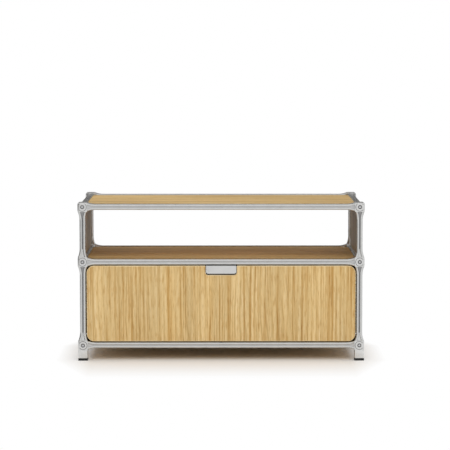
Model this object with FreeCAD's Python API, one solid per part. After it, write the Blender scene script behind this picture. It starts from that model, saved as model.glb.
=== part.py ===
# Hi-fi rack: an open shelf bay over a cabinet bay with a drop-down flap.
# Millimetres. The origin is on the floor under the centre of the rack.
# +Z is up, the front faces -Y, and +X is to the right seen from the front.
import FreeCAD, Part
import math
import os

from FreeCAD import Vector

# Overall size, from centre to centre of the frame's bars
frame_width = 900.0
frame_depth = 450.0
lower_bay_height = 273.0
upper_bay_height = 179.0
bottom_rail_height = 49.5

# Bars of the frame: a square with four round lobes, flared at both ends
bar_width = 19.0
bar_lobe_radius = 4.8
bar_groove_depth = 2.2
bar_end_width = 29.5
flare_length = 28.0
flare_step_shares = (0.0, 0.25, 0.5, 0.75, 1.0)

# Connectors at the corners of the frame
connector_size = 31.5
connector_round = 8.0
disc_diameter = 26.0
disc_height = 0.7
disc_bevel = 0.4

# Screws that hold the depth rails, seen in the front and rear discs
screw_diameter = 4.0
screw_head_diameter = 7.0
screw_head_height = 4.0
screw_head_round = 0.5
screw_socket_size = 3.0
screw_socket_depth = 2.0
screw_recess_diameter = 13.0
screw_recess_depth = 5.2
screw_recess_bevel = 0.3
screw_grip = 25.0

# Hidden studs that join bars and feet to the connectors
stud_diameter = 8.0
stud_connector_grip = 9.0
stud_bar_grip = 15.0
hole_clearance = 0.05

# Feet
foot_width = 31.0
foot_edge = 1.0
pad_width = 31.0
pad_height = 7.0
pad_edge = 0.8
foot_neck_diameter = 12.0
foot_neck_height = 5.0

# Infill panels
panel_thickness = 16.0
panel_recess = 3.0
panel_gap = 1.0
panel_corner_radius = 24.0
panel_edge = 0.8
side_panel_thickness = 6.0
side_panel_gap = 3.0
pin_diameter = 5.0
side_pin_diameter = 3.0
pin_length = 18.0
pin_inset = 2.0
width_pin_spread_share = 0.62
back_pin_spread_share = 0.56
depth_pin_spread_share = 0.5

# Flap
flap_thickness = 18.0
flap_reveal = 3.0
flap_setback = 2.0
hinge_height = 24.0
hinge_pin_diameter = 6.0
hinge_pin_post_grip = 8.0
hinge_pin_flap_grip = 20.0
bush_diameter = 10.0
bush_length = 20.0
bush_inset = 6.5
hinge_clearance = 0.06

# Grip: a bent plate in a notch of the flap
grip_width = 98.0
grip_plate = 2.5
grip_height = 26.8
grip_proud = 4.0
grip_top_gap = 2.0
grip_bend_radius = 5.0
grip_corner_radius = 6.0
grip_side_gap = 1.5
grip_finger_gap = 4.5
grip_back_overlap = 16.0
grip_back_drop = 20.0
grip_back_margin = 3.0
grip_screw_diameter = 4.0
grip_screw_head_diameter = 7.0
grip_screw_head_height = 2.0
grip_screw_length = 12.0

# Stays that carry the open flap
stay_radius = 95.0
stay_offset = 16.5
stay_shelf_gap = 23.0
link_back = 60.0
stay_plate = 3.5
stay_layer_gap = 0.3
arm_half_width = 9.0
link_half_width = 7.0
arm_pivot_diameter = 9.0
link_pivot_diameter = 6.0
pivot_clearance = 0.08
open_pivot_clearance = 0.3
pivot_head_diameter = 10.0
pivot_head_height = 1.2
housing_thickness = 9.7
housing_radius = 20.0
stop_pin_diameter = 6.0
stop_pin_distance = 25.0
stop_pin_gap = 0.3
stop_boss_radius = 8.0
housing_edge = 1.0
housing_screw_diameter = 4.0
housing_screw_depth = 3.0
housing_screw_radius = 14.0
bracket_lug_radius = 8.0
bracket_plate = 2.5
bracket_base_width = 24.0
bracket_base_height = 34.0

# Catches that hold the flap shut
catch_spread_share = 0.82
catch_length = 40.0
catch_depth = 16.0
catch_height = 12.0
catch_edge = 1.0
strike_length = 30.0
strike_height = 10.0
strike_plate = 1.5
strike_top_gap = 1.5
catch_air_gap = 0.3

# Small pad on the bottom rail that takes up the sag of the flap's middle
sag_pad_width = 7.0
sag_pad_depth = 2.5
sag_pad_gap = 1.8

# Overrun of every cutting tool past the face that it cuts
overrun = 1.0

# Places worked out from the sizes above
half_width = frame_width / 2
half_depth = frame_depth / 2
level_bottom = bottom_rail_height
level_middle = level_bottom + lower_bay_height
level_top = level_middle + upper_bay_height
levels = {"bottom": level_bottom, "middle": level_middle, "top": level_top}
sides = {"left": -1, "right": 1}
faces = {"front": -1, "rear": 1}
seat = connector_size / 2
bar_half = bar_width / 2
panel_reach = bar_half + panel_gap
panel_drop = bar_half - panel_recess
foot_top = level_bottom - seat
board_half_width = half_width - panel_reach
board_half_depth = half_depth - panel_reach
side_board_reach = bar_half + side_panel_gap

flap_half_width = half_width - bar_half - flap_reveal
flap_bottom = level_bottom + bar_half + flap_reveal
flap_top = level_middle - bar_half - flap_reveal
flap_front = -half_depth - bar_half + flap_setback
flap_back = flap_front + flap_thickness
hinge_y = (flap_front + flap_back) / 2
hinge_z = flap_bottom + hinge_height

grip_front = flap_front - grip_proud
grip_top = level_middle - bar_half - grip_top_gap
grip_bottom = grip_top - grip_height
notch_bottom = grip_bottom - grip_finger_gap
notch_half_width = grip_width / 2 + grip_side_gap

side_board_inner = half_width - side_panel_thickness / 2
shelf_underside = level_middle + panel_drop - panel_thickness
arm_pin_z = shelf_underside - stay_shelf_gap - arm_half_width
link_rise = arm_pin_z - hinge_z - stay_radius
stay_pivot = Vector(0, hinge_y + link_back, hinge_z + link_rise)
flap_pin = Vector(0, hinge_y + stay_offset, hinge_z + stay_radius)
arm_pin = flap_pin + Vector(0, link_back, link_rise)
housing_inner = side_board_inner - housing_thickness
arm_outer = housing_inner - stay_layer_gap
arm_inner = arm_outer - stay_plate
link_outer = arm_inner - stay_layer_gap
link_inner = link_outer - stay_plate
lug_outer = link_inner - stay_layer_gap
lug_inner = lug_outer - stay_plate


def box(low, high):
    """Box between two corners."""
    return Part.makeBox(high.x - low.x, high.y - low.y, high.z - low.z, low)


def rod(radius, start, end):
    """Solid cylinder from one point to another."""
    line = end - start
    return Part.makeCylinder(radius, line.Length, start, line)


def mirrored(shape, side):
    """A shape made for the right side, mirrored to the left side when asked."""
    if side > 0:
        return shape
    return shape.mirror(Vector(0, 0, 0), Vector(1, 0, 0))


def edges_where(shape, test):
    """Edges whose centre passes a test."""
    return [edge for edge in shape.Edges if test(edge)]


def save(name, *solids):
    """Write one node, as one solid or as a group of separate solids."""
    shape = solids[0] if len(solids) == 1 else Part.makeCompound(list(solids))
    shape.exportStep("parts/" + name + ".step")
    print(name, len(shape.Solids), round(shape.Volume, 1), shape.isValid())


def bar_section(half, z):
    """Closed outline of a bar: four round lobes joined by flat valley floors."""
    centre = half - bar_lobe_radius
    floor = half - bar_groove_depth
    reach = math.sqrt(bar_lobe_radius ** 2 - (floor - centre) ** 2)
    inner = centre - reach
    diagonal = centre + bar_lobe_radius / math.sqrt(2)
    edges = []
    for quarter in range(4):
        turn = FreeCAD.Rotation(Vector(0, 0, 1), 90 * quarter)
        start = turn.multVec(Vector(floor, inner, z))
        middle = turn.multVec(Vector(diagonal, diagonal, z))
        end = turn.multVec(Vector(inner, floor, z))
        following = turn.multVec(Vector(-inner, floor, z))
        edges.append(Part.Arc(start, middle, end).toShape())
        edges.append(Part.LineSegment(end, following).toShape())
    return Part.Wire(edges)


def flare_half_width(distance):
    """Half width of a bar at a distance from its end, on an arc tangent to the straight stretch."""
    widening = (bar_end_width - bar_width) / 2
    radius = (flare_length ** 2 + widening ** 2) / (2 * widening)
    inward = flare_length - distance
    return bar_half + radius - math.sqrt(radius ** 2 - inward ** 2)


def make_bar(length):
    """A bar along +Z from the origin, flared at both ends, with a blind stud hole in each end."""
    sections = []
    for share in flare_step_shares:
        distance = share * flare_length
        sections.append(bar_section(flare_half_width(distance), distance))
    lower = Part.makeLoft(sections, True, False)
    middle = Part.Face(bar_section(bar_half, flare_length)).extrude(Vector(0, 0, length - 2 * flare_length))
    upper = lower.mirror(Vector(0, 0, length / 2), Vector(0, 0, 1))
    return lower.fuse([middle, upper])


def bar_between(start, end):
    """A bar between two points of the frame's centre lines, ending at the connectors' seats."""
    line = end - start
    direction = Vector(line).normalize()
    bar = make_bar(line.Length - 2 * seat)
    bar.Placement = FreeCAD.Placement(start + direction * seat, FreeCAD.Rotation(Vector(0, 0, 1), direction))
    return bar


def stud_holes(ends, diameter, depth):
    """Blind holes that start at bar ends: each end is a point and the direction into the bar."""
    holes = []
    for point, direction in ends:
        start = point - direction * overrun
        holes.append(rod(diameter / 2 + hole_clearance, start, point + direction * depth))
    return holes


def corner(side, face, level):
    """Centre of a connector."""
    return Vector(side * half_width, face * half_depth, level)


def panel_pins():
    """Panel pins: a point level with a bar's centre, the direction into the panel and the diameter."""
    places = []
    spread = half_width * width_pin_spread_share
    for level in levels.values():
        for face in faces.values():
            for sign in (-1, 1):
                point = Vector(sign * spread, face * half_depth, level)
                places.append((point, Vector(0, -face, 0), pin_diameter))
    for side in sides.values():
        for sign in (-1, 1):
            x = side * half_width
            y = sign * half_depth * depth_pin_spread_share
            places.append((Vector(x, y, level_bottom), Vector(0, 0, 1), side_pin_diameter))
            places.append((Vector(x, y, level_middle), Vector(0, 0, -1), side_pin_diameter))
            places.append((Vector(x, y, level_middle), Vector(0, 0, 1), side_pin_diameter))
            places.append((Vector(x, y, level_top), Vector(0, 0, -1), side_pin_diameter))
    for sign in (-1, 1):
        x = sign * half_width * back_pin_spread_share
        places.append((Vector(x, half_depth, level_bottom), Vector(0, 0, 1), pin_diameter))
        places.append((Vector(x, half_depth, level_middle), Vector(0, 0, -1), pin_diameter))
    return places


def pin_solids(extra):
    """All panel pins, or the holes for them when they are made a little larger and longer."""
    solids = []
    for point, direction, diameter in panel_pins():
        start = point + direction * (pin_inset - extra)
        end = point + direction * (pin_inset + pin_length + extra)
        solids.append(rod(diameter / 2 + extra, start, end))
    return solids


def disc_surround(centre, direction):
    """Shallow layer of an outer face that lies outside its round disc."""
    height = disc_height + overrun
    radius = disc_diameter / 2
    base = centre + direction * (seat - disc_height)
    narrowed = radius - disc_bevel * height / disc_height
    layer = rod(connector_size, base, base + direction * height)
    return layer.cut(Part.makeCone(radius, narrowed, height, base, direction))


def make_connector(side, face, name):
    """Corner block: outer faces carry discs, the other faces are flat seats for bars or the foot."""
    centre = corner(side, face, levels[name])
    reach = Vector(seat, seat, seat)
    outward = disc_directions(side, face, name)
    body = round_connector(box(centre - reach, centre + reach), centre, outward)
    ends = [(centre + direction * seat, direction * -1) for direction in seat_directions(side, face, name)]
    tools = [disc_surround(centre, direction) for direction in outward]
    tools += stud_holes(ends, stud_diameter, stud_connector_grip)
    tools += screw_hole_tools(centre, Vector(0, face, 0))
    return body.cut(tools)


def disc_directions(side, face, name):
    """Directions of the outer faces that carry a disc."""
    directions = [Vector(side, 0, 0), Vector(0, face, 0)]
    if name == "top":
        directions.append(Vector(0, 0, 1))
    return directions


def seat_directions(side, face, name):
    """Directions in which a stud leaves a connector."""
    directions = [Vector(-side, 0, 0), Vector(0, 0, -1)]
    if name != "top":
        directions.append(Vector(0, 0, 1))
    return directions


def round_connector(body, centre, outward):
    """Round the edges where two outer faces meet."""

    def outer_faces(edge):
        offset = edge.CenterOfMass - centre
        return sum(1 for direction in outward if offset.dot(direction) > seat - overrun)

    return body.makeFillet(connector_round, edges_where(body, lambda edge: outer_faces(edge) == 2))


def screw_hole_tools(centre, direction):
    """Recessed screw hole from the disc's face through the connector and into the depth rail."""
    radius = screw_recess_diameter / 2
    face_point = centre + direction * seat
    floor = face_point - direction * screw_recess_depth
    bevel_low = face_point - direction * screw_recess_bevel
    bevel = Part.makeCone(radius, radius + screw_recess_bevel, screw_recess_bevel, bevel_low, direction)
    recess = rod(radius, floor, face_point + direction * overrun)
    shank_end = centre - direction * (seat + screw_grip)
    shank = rod(screw_diameter / 2 + hole_clearance, shank_end, face_point)
    return [bevel, recess, shank]


def make_frame_screw(centre, direction):
    """Socket screw whose head stands on the floor of a disc's recess."""
    seat_point = centre + direction * (seat - screw_recess_depth)
    head_top = seat_point + direction * screw_head_height
    head = rod(screw_head_diameter / 2, seat_point, head_top)
    rim = edges_where(head, lambda edge: len(edge.Vertexes) == 1
                      and abs((edge.CenterOfMass - head_top).dot(direction)) < screw_head_round)
    head = head.makeFillet(screw_head_round, rim)
    shank = rod(screw_diameter / 2, centre - direction * (seat + screw_grip), seat_point)
    corner_radius = screw_socket_size / math.sqrt(3)
    points = []
    for step in range(7):
        angle = math.radians(60 * step)
        points.append(Vector(corner_radius * math.cos(angle), corner_radius * math.sin(angle), 0))
    socket = Part.Face(Part.makePolygon(points)).extrude(Vector(0, 0, screw_socket_depth + overrun))
    place = head_top - direction * screw_socket_depth
    socket.Placement = FreeCAD.Placement(place, FreeCAD.Rotation(Vector(0, 0, 1), direction))
    return head.fuse(shank).cut(socket)


def stud_places():
    """Each stud's seat point and the direction from the connector into the bar or foot."""
    places = []
    for side in sides.values():
        for face in faces.values():
            for name, level in levels.items():
                centre = corner(side, face, level)
                for direction in seat_directions(side, face, name):
                    places.append((centre + direction * seat, direction))
    return places


def make_studs():
    """Hidden studs, each partly in a connector and partly in a bar or a foot block."""
    studs = []
    for point, direction in stud_places():
        start = point - direction * stud_connector_grip
        studs.append(rod(stud_diameter / 2, start, point + direction * stud_bar_grip))
    return studs


def with_holes(shape, tools):
    """Cut the tools that reach into a shape's box."""
    near = [tool for tool in tools if tool.BoundBox.intersect(shape.BoundBox)]
    return shape.cut(near) if near else shape


def frame_hole_tools():
    """All hidden holes in bars, foot blocks and panels."""
    tools = stud_holes(stud_places(), stud_diameter, stud_bar_grip + hole_clearance)
    for side in sides.values():
        for face in faces.values():
            for level in levels.values():
                direction = Vector(0, face, 0)
                centre = corner(side, face, level)
                tools.append(rod(screw_diameter / 2 + hole_clearance,
                                 centre - direction * (seat + screw_grip + hole_clearance), centre))
    return tools + pin_solids(hole_clearance)


def board(width, height, thickness):
    """Flat panel in the XY plane, centred, with round corners and lightly broken edges."""
    half = Vector(width / 2, height / 2, thickness / 2)
    panel = box(Vector(-half.x, -half.y, -half.z), half)
    upright = edges_where(panel, lambda edge: abs(edge.tangentAt(edge.FirstParameter).z) > 0.5)
    panel = panel.makeFillet(panel_corner_radius, upright)
    rims = edges_where(panel, lambda edge: abs(abs(edge.CenterOfMass.z) - half.z) < panel_edge / 2)
    return panel.makeChamfer(panel_edge, rims)


def horizontal_panel(level):
    """Panel between the rails of one level, its top face a little under the rails' tops."""
    panel = board(2 * board_half_width, 2 * board_half_depth, panel_thickness)
    panel.translate(Vector(0, 0, level + panel_drop - panel_thickness / 2))
    return panel


def side_panel(side, low_level, high_level):
    """Thin upright panel between two side rails, in their middle plane."""
    height = high_level - low_level - 2 * side_board_reach
    panel = board(2 * (half_depth - side_board_reach), height, side_panel_thickness)
    turn = FreeCAD.Rotation(Vector(0, 1, 0), Vector(0, 0, 1), Vector(1, 0, 0))
    middle = Vector(side * half_width, 0, (low_level + high_level) / 2)
    panel.Placement = FreeCAD.Placement(middle, turn)
    return panel


def back_panel():
    """Upright panel in the middle plane of the rear frame, behind the cabinet bay."""
    panel = board(2 * board_half_width, level_middle - level_bottom - 2 * panel_reach, panel_thickness)
    turn = FreeCAD.Rotation(Vector(1, 0, 0), Vector(0, 0, 1), Vector(0, -1, 0))
    panel.Placement = FreeCAD.Placement(Vector(0, half_depth, (level_bottom + level_middle) / 2), turn)
    return panel


def make_foot_block(side, face):
    """Square block under a bottom connector, with a short neck that the pad sits on."""
    centre = Vector(side * half_width, face * half_depth, 0)
    half = foot_width / 2
    block = box(centre + Vector(-half, -half, pad_height), centre + Vector(half, half, foot_top))
    upright = edges_where(block, lambda edge: abs(edge.tangentAt(edge.FirstParameter).z) > 0.5)
    block = block.makeFillet(foot_edge, upright)
    neck_low = centre + Vector(0, 0, pad_height - foot_neck_height)
    neck_high = centre + Vector(0, 0, pad_height)
    return block.fuse(rod(foot_neck_diameter / 2, neck_low, neck_high))


def make_foot_pad(side, face):
    """Black pad round the neck of a foot block."""
    centre = Vector(side * half_width, face * half_depth, 0)
    half = pad_width / 2
    pad = box(centre + Vector(-half, -half, 0), centre + Vector(half, half, pad_height))
    upright = edges_where(pad, lambda edge: abs(edge.tangentAt(edge.FirstParameter).z) > 0.5)
    pad = pad.makeFillet(pad_edge, upright)
    bore_low = centre + Vector(0, 0, pad_height - foot_neck_height - hole_clearance)
    bore_high = centre + Vector(0, 0, pad_height + overrun)
    return pad.cut(rod(foot_neck_diameter / 2 + hole_clearance, bore_low, bore_high))


def notch_tool():
    """Cut in the flap's top edge, with round lower corners."""
    radius = grip_corner_radius + grip_side_gap
    low = Vector(-notch_half_width, flap_front - overrun, notch_bottom)
    high = Vector(notch_half_width, flap_back + overrun, flap_top + radius)
    tool = box(low, high)
    lower = edges_where(tool, lambda edge: abs(edge.CenterOfMass.z - notch_bottom) < overrun / 2
                        and abs(edge.CenterOfMass.x) > notch_half_width - overrun)
    return tool.makeFillet(radius, lower)


def make_flap():
    """Flap panel with round corners, a notch for the grip and blind holes for the hinge bushes."""
    panel = board(2 * flap_half_width, flap_top - flap_bottom, flap_thickness)
    turn = FreeCAD.Rotation(Vector(1, 0, 0), Vector(0, 0, 1), Vector(0, -1, 0))
    panel.Placement = FreeCAD.Placement(Vector(0, hinge_y, (flap_bottom + flap_top) / 2), turn)
    tools = [notch_tool()]
    for side in sides.values():
        start = Vector(side * (flap_half_width - bush_inset - bush_length), hinge_y, hinge_z)
        end = Vector(side * (flap_half_width + overrun), hinge_y, hinge_z)
        tools.append(rod(bush_diameter / 2 + hole_clearance, start, end))
    tools += grip_screw_holes()
    return panel.cut(tools)


def make_grip():
    """Bent plate: a round-cornered front, a rolled top and a wider flange behind the flap."""
    back_outer = flap_back + grip_plate
    half = grip_width / 2
    outline = box(Vector(-half, grip_front, grip_bottom), Vector(half, back_outer, grip_top))
    top_edges = edges_where(outline, lambda edge: abs(edge.CenterOfMass.z - grip_top) < overrun / 2
                            and abs(edge.CenterOfMass.x) < overrun / 2)
    outline = outline.makeFillet(grip_bend_radius, top_edges)
    inner_level = grip_top - grip_plate
    inside = box(Vector(-half - overrun, grip_front + grip_plate, grip_bottom - overrun),
                 Vector(half + overrun, flap_back, inner_level))
    inner_top = edges_where(inside, lambda edge: abs(edge.CenterOfMass.z - inner_level) < overrun / 2
                            and abs(edge.CenterOfMass.x) < overrun / 2)
    inside = inside.makeFillet(grip_bend_radius - grip_plate, inner_top)
    shell = outline.cut(inside)
    lower = edges_where(shell, lambda edge: abs(edge.CenterOfMass.z - grip_bottom) < overrun / 2
                        and edge.CenterOfMass.y < grip_front + grip_plate
                        and abs(edge.CenterOfMass.x) > half - overrun)
    shell = shell.makeFillet(grip_corner_radius, lower)
    flange_half = notch_half_width + grip_back_overlap
    flange_top = flap_top - grip_back_margin
    flange = box(Vector(-flange_half, flap_back, notch_bottom - grip_back_drop),
                 Vector(flange_half, back_outer, flange_top))
    corners = edges_where(flange, lambda edge: abs(edge.tangentAt(edge.FirstParameter).y) > 0.5)
    flange = flange.makeFillet(grip_corner_radius, corners)
    return shell.fuse(flange).cut(grip_screw_holes())


def grip_screw_places():
    """Points on the flap's rear face where the grip's flange is screwed."""
    x = notch_half_width + grip_back_overlap / 2
    high = flap_top - grip_back_margin - grip_back_overlap / 2
    low = notch_bottom - grip_back_drop / 2
    return [Vector(sign * x, flap_back, z) for sign in (-1, 1) for z in (low, high)]


def grip_screw_holes():
    """Clearance holes for the grip's screws, through the flange and into the flap."""
    inward = Vector(0, -grip_screw_length - hole_clearance, 0)
    outward = Vector(0, grip_plate + overrun, 0)
    radius = grip_screw_diameter / 2 + hole_clearance
    return [rod(radius, place + inward, place + outward) for place in grip_screw_places()]


def make_grip_screws():
    """Pan-head screws behind the flap."""
    screws = []
    for place in grip_screw_places():
        face_point = place + Vector(0, grip_plate, 0)
        shank = rod(grip_screw_diameter / 2, place - Vector(0, grip_screw_length, 0), face_point)
        cap = rod(grip_screw_head_diameter / 2, face_point, face_point + Vector(0, grip_screw_head_height, 0))
        screws.append(shank.fuse(cap))
    return screws


def hinge_pin_ends(side):
    """Inner and outer end of a hinge pin."""
    outer = half_width - bar_half + hinge_pin_post_grip
    inner = flap_half_width - bush_inset - hinge_pin_flap_grip + hole_clearance
    return Vector(side * inner, hinge_y, hinge_z), Vector(side * outer, hinge_y, hinge_z)


def hinge_pin_hole(side):
    """Hole for a hinge pin in the lower front post, open towards the flap."""
    end = hinge_pin_ends(side)[1] + Vector(side * hole_clearance, 0, 0)
    start = Vector(side * (half_width - seat - overrun), hinge_y, hinge_z)
    return rod(hinge_pin_diameter / 2 + hole_clearance, start, end)


def make_bush(side):
    """Bush in the side edge of the flap, running on the hinge pin."""
    outer = Vector(side * (flap_half_width - bush_inset), hinge_y, hinge_z)
    inner = Vector(side * (flap_half_width - bush_inset - bush_length), hinge_y, hinge_z)
    away = (outer - inner).normalize() * overrun
    bore = rod(hinge_pin_diameter / 2 + hinge_clearance, inner - away, outer + away)
    return rod(bush_diameter / 2, inner, outer).cut(bore)


def eye_plate(start, start_radius, end, end_radius, x_low, x_high):
    """Flat plate with a round eye at each of two points of the YZ plane, joined by straight flanks."""
    distance = (end - start).Length
    along = (end - start).normalize()
    across = Vector(1, 0, 0).cross(along)
    lean = math.acos((start_radius - end_radius) / distance)
    upper = along * math.cos(lean) + across * math.sin(lean)
    lower = along * math.cos(lean) - across * math.sin(lean)
    flank = Part.LineSegment(start + upper * start_radius, end + upper * end_radius)
    nose = Part.Arc(end + upper * end_radius, end + along * end_radius, end + lower * end_radius)
    return_flank = Part.LineSegment(end + lower * end_radius, start + lower * start_radius)
    heel = Part.Arc(start + lower * start_radius, start - along * start_radius, start + upper * start_radius)
    outline = Part.Wire([flank.toShape(), nose.toShape(), return_flank.toShape(), heel.toShape()])
    plate = Part.Face(outline).extrude(Vector(x_high - x_low, 0, 0))
    plate.translate(Vector(x_low, 0, 0))
    return plate


def at_x(point, x):
    """A point of the YZ plane moved to a place along X."""
    return Vector(x, point.y, point.z)


def stop_pin_place():
    """Place of the stop pin under the arm where it lies with the flap open."""
    swing = FreeCAD.Rotation(Vector(1, 0, 0), 90)
    open_arm = swing.multVec(arm_pin - stay_pivot).normalize()
    below = Vector(1, 0, 0).cross(open_arm)
    if below.z > 0:
        below = below * -1
    distance = arm_half_width + stop_pin_diameter / 2 + stop_pin_gap
    return stay_pivot + open_arm * stop_pin_distance + below * distance


def make_housing():
    """Stay housing on the side panel, with the arm's pivot pin and the stop pin, right side."""
    stop = stop_pin_place()
    body = eye_plate(stay_pivot, housing_radius, stop, stop_boss_radius, housing_inner, side_board_inner)
    rim = edges_where(body, lambda edge: abs(edge.BoundBox.XMax - housing_inner) < housing_edge / 2)
    body = body.makeChamfer(housing_edge, rim)
    for turn in (40, 140, 270):
        angle = math.radians(turn)
        place = stay_pivot + Vector(0, math.cos(angle), math.sin(angle)) * housing_screw_radius
        mouth = at_x(place, housing_inner - overrun)
        floor = at_x(place, housing_inner + housing_screw_depth)
        body = body.cut(rod(housing_screw_diameter / 2, mouth, floor))
    pivot_end = arm_inner - hole_clearance
    pin = rod(arm_pivot_diameter / 2, at_x(stay_pivot, pivot_end), at_x(stay_pivot, housing_inner))
    stop_pin = rod(stop_pin_diameter / 2, at_x(stop, arm_inner), at_x(stop, housing_inner))
    return body.fuse([pin, stop_pin])


def make_arm():
    """Stay arm with a plain eye on the housing's pin and a headed pin for the link, right side."""
    arm = eye_plate(stay_pivot, arm_half_width, arm_pin, arm_half_width, arm_inner, arm_outer)
    eye = rod(arm_pivot_diameter / 2 + pivot_clearance, at_x(stay_pivot, arm_inner - overrun),
              at_x(stay_pivot, arm_outer + overrun))
    head_start = link_inner - stay_layer_gap
    pin = rod(link_pivot_diameter / 2, at_x(arm_pin, head_start), at_x(arm_pin, arm_inner))
    cap_end = at_x(arm_pin, head_start - pivot_head_height)
    cap = rod(pivot_head_diameter / 2, cap_end, at_x(arm_pin, head_start))
    return arm.cut(eye).fuse([pin, cap])


def make_link():
    """Stay link between the arm's pin and the flap bracket's pin, right side."""
    link = eye_plate(flap_pin, link_half_width, arm_pin, link_half_width, link_inner, link_outer)
    radius = link_pivot_diameter / 2
    upper = rod(radius + pivot_clearance, at_x(arm_pin, link_inner - overrun),
                at_x(arm_pin, link_outer + overrun))
    lower = rod(radius + open_pivot_clearance, at_x(flap_pin, link_inner - overrun),
                at_x(flap_pin, link_outer + overrun))
    return link.cut([upper, lower])


def make_flap_bracket():
    """Bracket on the flap's rear face with a headed pin for the link, right side."""
    low = Vector(lug_inner - bracket_base_width, flap_back, flap_pin.z - bracket_base_height / 2)
    high = Vector(lug_outer, flap_back + bracket_plate, flap_pin.z + bracket_base_height / 2)
    base = box(low, high)
    lug = box(Vector(lug_inner, flap_back, flap_pin.z - bracket_lug_radius),
              Vector(lug_outer, flap_pin.y, flap_pin.z + bracket_lug_radius))
    nose = rod(bracket_lug_radius, at_x(flap_pin, lug_inner), at_x(flap_pin, lug_outer))
    below = box(Vector(lug_inner - overrun, flap_back - bracket_lug_radius, flap_pin.z - bracket_base_height),
                Vector(lug_outer + overrun, flap_back, flap_pin.z + bracket_base_height))
    nose = nose.cut(below)
    head_start = link_outer + hole_clearance
    pin = rod(link_pivot_diameter / 2, at_x(flap_pin, lug_outer), at_x(flap_pin, head_start))
    cap_end = at_x(flap_pin, head_start + pivot_head_height)
    cap = rod(pivot_head_diameter / 2, at_x(flap_pin, head_start), cap_end)
    return base.fuse([lug, nose, pin, cap])


def make_catch(sign):
    """Magnet catch under the shelf."""
    x = sign * flap_half_width * catch_spread_share
    front = flap_back + strike_plate + catch_air_gap
    low = Vector(x - catch_length / 2, front, shelf_underside - catch_height)
    high = Vector(x + catch_length / 2, front + catch_depth, shelf_underside)
    block = box(low, high)
    upright = edges_where(block, lambda edge: abs(edge.tangentAt(edge.FirstParameter).z) > 0.5)
    return block.makeFillet(catch_edge, upright)


def make_strike(sign):
    """Steel strike plate on the flap's rear face."""
    x = sign * flap_half_width * catch_spread_share
    top = flap_top - strike_top_gap
    low = Vector(x - strike_length / 2, flap_back, top - strike_height)
    return box(low, Vector(x + strike_length / 2, flap_back + strike_plate, top))


def make_sag_pad(rail):
    """Small pad on the front bottom rail, in the gap under the middle of the flap."""
    half = sag_pad_width / 2
    pad = box(Vector(-half, flap_front, flap_bottom - flap_reveal - bar_lobe_radius),
              Vector(half, flap_front + sag_pad_depth, flap_bottom - sag_pad_gap))
    return pad.cut(rail)


def main():
    """Build every node and write it."""
    os.makedirs("parts", exist_ok=True)
    tools = frame_hole_tools()
    for level_name in levels:
        for face_name, face in faces.items():
            for side_name, side in sides.items():
                connector = make_connector(side, face, level_name)
                save("_".join(("connector", face_name, side_name, level_name)), connector)
            rail = bar_between(corner(-1, face, levels[level_name]), corner(1, face, levels[level_name]))
            rail = with_holes(rail, tools)
            save("_".join(("width_rail", face_name, level_name)), rail)
            if level_name == "bottom" and face < 0:
                save("flap_sag_pad", make_sag_pad(rail))
        for side_name, side in sides.items():
            rail = bar_between(corner(side, -1, levels[level_name]), corner(side, 1, levels[level_name]))
            save("_".join(("depth_rail", side_name, level_name)), with_holes(rail, tools))
    for face_name, face in faces.items():
        for side_name, side in sides.items():
            upper = bar_between(corner(side, face, level_middle), corner(side, face, level_top))
            lower = bar_between(corner(side, face, level_bottom), corner(side, face, level_middle))
            if face < 0:
                lower = lower.cut(hinge_pin_hole(side))
            save("_".join(("post_upper", face_name, side_name)), with_holes(upper, tools))
            save("_".join(("post_lower", face_name, side_name)), with_holes(lower, tools))
    corners = [(side, face) for face in faces.values() for side in sides.values()]
    save("frame_screws", *[make_frame_screw(corner(side, face, level), Vector(0, face, 0))
                           for side, face in corners for level in levels.values()])
    save("frame_studs", *make_studs())
    save("foot_blocks", *[with_holes(make_foot_block(side, face), tools) for side, face in corners])
    save("foot_pads", *[make_foot_pad(side, face) for side, face in corners])

    for name, level_name in (("top_panel", "top"), ("shelf_panel", "middle"), ("bottom_panel", "bottom")):
        save(name, with_holes(horizontal_panel(levels[level_name]), tools))
    for side_name, side in sides.items():
        save("side_panel_upper_" + side_name, with_holes(side_panel(side, level_middle, level_top), tools))
        save("side_panel_lower_" + side_name, with_holes(side_panel(side, level_bottom, level_middle), tools))
    save("back_panel", with_holes(back_panel(), tools))
    save("panel_pins", *pin_solids(0))

    save("flap_panel", make_flap())
    save("flap_grip", make_grip())
    save("grip_screws", *make_grip_screws())
    save("hinge_pins", *[rod(hinge_pin_diameter / 2, *hinge_pin_ends(side)) for side in sides.values()])
    save("hinge_bushes", *[make_bush(side) for side in sides.values()])
    save("flap_brackets", *[mirrored(make_flap_bracket(), side) for side in sides.values()])
    for side_name, side in sides.items():
        save("stay_housing_" + side_name, mirrored(make_housing(), side))
        save("stay_arm_" + side_name, mirrored(make_arm(), side))
        save("stay_link_" + side_name, mirrored(make_link(), side))
    save("magnet_catches", *[make_catch(sign) for sign in (-1, 1)])
    save("strike_plates", *[make_strike(sign) for sign in (-1, 1)])
    print("flap hinge", hinge_y, hinge_z)
    for label, point in (("stay pivot", stay_pivot), ("arm pin", arm_pin), ("flap pin", flap_pin)):
        print(label, point.y, point.z)


main()
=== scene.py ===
"""Looks of a hi-fi rack: grooved aluminium bars, rounded corner connectors, oak panels and a drop-down flap.

Metres throughout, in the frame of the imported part: the origin is on the floor under the rack's centre,
+Z is up and the flap faces -Y.
"""

import logging
import math
from dataclasses import dataclass
from enum import Enum
from typing import Sequence

import bmesh
import bpy
from mathutils import Matrix, Vector


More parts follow.
